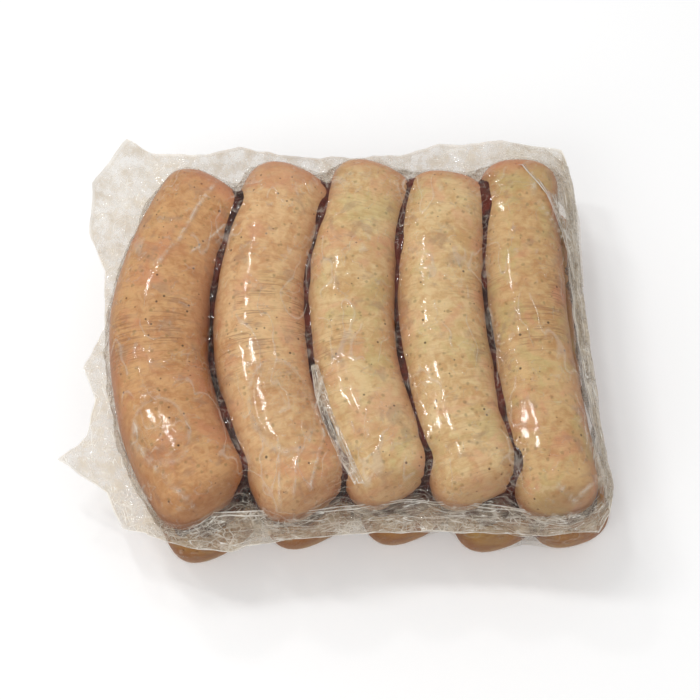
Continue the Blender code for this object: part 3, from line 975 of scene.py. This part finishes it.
def hanging_fold(name, hem, weld, outward, cells, turned, haze):
    """Doubled film that hangs from the upper links' shoulders down over the weld."""
    shares = np.linspace(0, 1, cells + 1)
    across = np.linspace(0, 1, FOLD_ROWS + 1)[None, :, None]
    points = along_edge(hem, shares)[:, None] * (1 - across) + along_edge(weld, shares)[:, None] * across
    shape = points.shape[:2]
    points = points.reshape(-1, 3)
    way_down = np.broadcast_to(across[..., 0], shape).ravel()
    run = np.column_stack([points[:, :2] * 0.12, way_down * FOLD_WIDTH])
    bulge = np.sin(math.pi * way_down) * (1.4 + 0.9 * ripples(run, 7.0, 31)) + 0.4 * ripples(run, 3.5, 32)
    bulge += 0.5 * ripples(points[:, :2], 14.0, 33)
    points = points + bulge[:, None] * np.array(outward)
    piece = new_piece(name, points, grid_faces(*shape, 0, turned), folded_film)
    carry(piece, slack=np.ones(len(points)), haze=np.full(len(points), haze),
          rim=np.abs(2 * way_down - 1), crease=np.zeros(len(points)), flow=run * MM)


HEM_Z = 45.0
FOLD_LEFT = (-72, -73, 34)
FOLD_CORNER = (98, -68, 39)
front_hem = [FOLD_LEFT]
for link in TOP_LINKS:
    tip_x, tip_y = front_tip(link)
    front_hem.append((tip_x, tip_y - 1.2, HEM_Z))
front_hem.append(FOLD_CORNER)
LAST_HALF_WIDTH = 17.6  # from the last upper link's centreline out to the film on its right side
side_hem = [(92, 64, 44)]
for y in (50, 25, 0, -25, -50):
    side_hem.append((across_at(TOP_LINKS[-1], y) + LAST_HALF_WIDTH, y, HEM_Z + 1.5))
side_hem.append(FOLD_CORNER)

corner_hem = [(66, 67, 50), (75, 60, 61.5), (84, 47, 60.5), (90, 33, 56), (95, 16, 47)]
corner_weld = [(74, 87, 36), (88, 85, 36), (98, 76, 35), (101, 50, 33), (101, 20, 32)]


def pleat_edge(side):
    """One edge of the pinched pleat of film that stands over the groove between two upper links."""
    left_link, right_link = TOP_LINKS[1], TOP_LINKS[2]
    edge = []
    for y in (-26, -38, -50, -62, -74):
        left = across_at(left_link, y) + left_link.width / 2
        right = across_at(right_link, y) - right_link.width / 2
        middle = (left + right) / 2
        half = 2.4 * math.sin(math.radians((y + 18) * -2.6)) + 0.4
        edge.append((middle + side * half + 0.6, y, 56.6 + 0.5 * side))
    return edge


film = upper_sheet()
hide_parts("vacuum_pack")
lower_sheet()
hanging_fold("film_front_fold", front_hem, FRONT_EDGE[::-1], (0, -0.8, 0.6), 340, -1, 0.13)
hanging_fold("film_right_fold", side_hem, RIGHT_EDGE, (0.6, 0, 0.5), 280, 1, 0.46)
hanging_fold("film_corner_fold", corner_hem, corner_weld, (0.2, 0.1, 0.4), 150, 1, 0.26)
hanging_fold("film_pleat", pleat_edge(-1), pleat_edge(1), (0, 0, 0.3), 120, 1, 0.30)


# --- Counter, lamps and camera --------------------------------------------------------------------
# A plain white counter under soft daylight, with three ceiling lamps and a window whose shine lies
# on the film. The camera looks down from in front of the pack.

COUNTER_GLOW = 0.20
COUNTER_HALF = 2.0
DAYLIGHT = 0.54


def seen_white(tree):
    """1 for the eye and for what shine and clear film show it, 0 for the light that falls on things."""
    path = tree.nodes.new("ShaderNodeLightPath").outputs
    return larger(tree, path["Is Camera Ray"],
                  larger(tree, path["Is Glossy Ray"], path["Is Transmission Ray"]))


def counter_material():
    """White to the eye, and still darker where the pack stands in its light."""
    material = bpy.data.materials.new("white_counter")
    material.use_nodes = True
    tree = material.node_tree
    shader = tree.nodes["Principled BSDF"]
    shader.inputs["Base Color"].default_value = (0.9, 0.9, 0.9, 1)
    shader.inputs["Roughness"].default_value = 0.9
    shader.inputs["Specular IOR Level"].default_value = 0.0
    strength = times(tree, seen_white(tree), COUNTER_GLOW)
    glow = join(tree, "ShaderNodeEmission", {"Color": (1, 1, 1, 1), "Strength": strength})
    both = join(tree, "ShaderNodeAddShader", {0: shader.outputs[0], 1: glow.outputs[0]})
    tree.links.new(both.outputs[0], tree.nodes["Material Output"].inputs[0])
    return material


counter_mesh = bpy.data.meshes.new("counter")
counter_mesh.from_pydata(
    [(x * COUNTER_HALF, y * COUNTER_HALF, -0.2 * MM) for x, y in ((-1, -1), (1, -1), (1, 1), (-1, 1))],
    [], [(0, 1, 2, 3)])
counter_mesh.materials.append(counter_material())
counter = bpy.data.objects.new("counter", counter_mesh)
bpy.context.scene.collection.objects.link(counter)

world = bpy.data.worlds.new("daylight")
world.use_nodes = True
bpy.context.scene.world = world
sky = world.node_tree
strength = times_plus(sky, seen_white(sky), 1 - DAYLIGHT, DAYLIGHT)
background = sky.nodes["Background"]
background.inputs["Color"].default_value = (1, 1, 1, 1)
sky.links.new(strength, background.inputs["Strength"])


def lamp(name, place, aim, size, watts):
    """A white rectangular lamp facing a point."""
    light = bpy.data.lights.new(name, "AREA")
    light.shape = "RECTANGLE"
    light.size, light.size_y = size
    light.energy = watts
    holder = bpy.data.objects.new(name, light)
    holder.location = place
    way = np.array(aim) - np.array(place)
    holder.rotation_euler = (math.acos(-way[2] / np.linalg.norm(way)), 0.0, math.atan2(-way[0], way[1]))
    bpy.context.scene.collection.objects.link(holder)


PACK_MIDDLE = (0.0, 0.0, 0.05)
lamp("ceiling_lamp_left", (-0.58, 0.275, 1.02), PACK_MIDDLE, (0.06, 0.20), 1.9)
lamp("ceiling_lamp_right", (-0.28, 0.295, 1.12), PACK_MIDDLE, (0.06, 0.20), 1.9)
lamp("ceiling_lamp_far", (-0.40, 0.60, 0.95), PACK_MIDDLE, (0.09, 0.06), 0.8)
lamp("window", (-0.45, -0.75, 0.85), PACK_MIDDLE, (0.60, 0.60), 2.7)

CAMERA_RISE_DEG = 64.0
CAMERA_DISTANCE = 0.62
CAMERA_AIM = (0.0051, -0.0126, 0.045)
CAMERA_LENS = 82.3
rise = math.radians(CAMERA_RISE_DEG)
camera = bpy.data.objects.new("camera", bpy.data.cameras.new("camera"))
camera.location = (
    CAMERA_AIM[0],
    CAMERA_AIM[1] - CAMERA_DISTANCE * math.cos(rise),
    CAMERA_AIM[2] + CAMERA_DISTANCE * math.sin(rise),
)
camera.rotation_euler = (math.pi / 2 - rise, 0, 0)
camera.data.lens = CAMERA_LENS
camera.data.sensor_width = 36
camera.data.clip_start = 0.01
bpy.context.scene.collection.objects.link(camera)
bpy.context.scene.camera = camera
bpy.context.scene.view_settings.view_transform = "Standard"
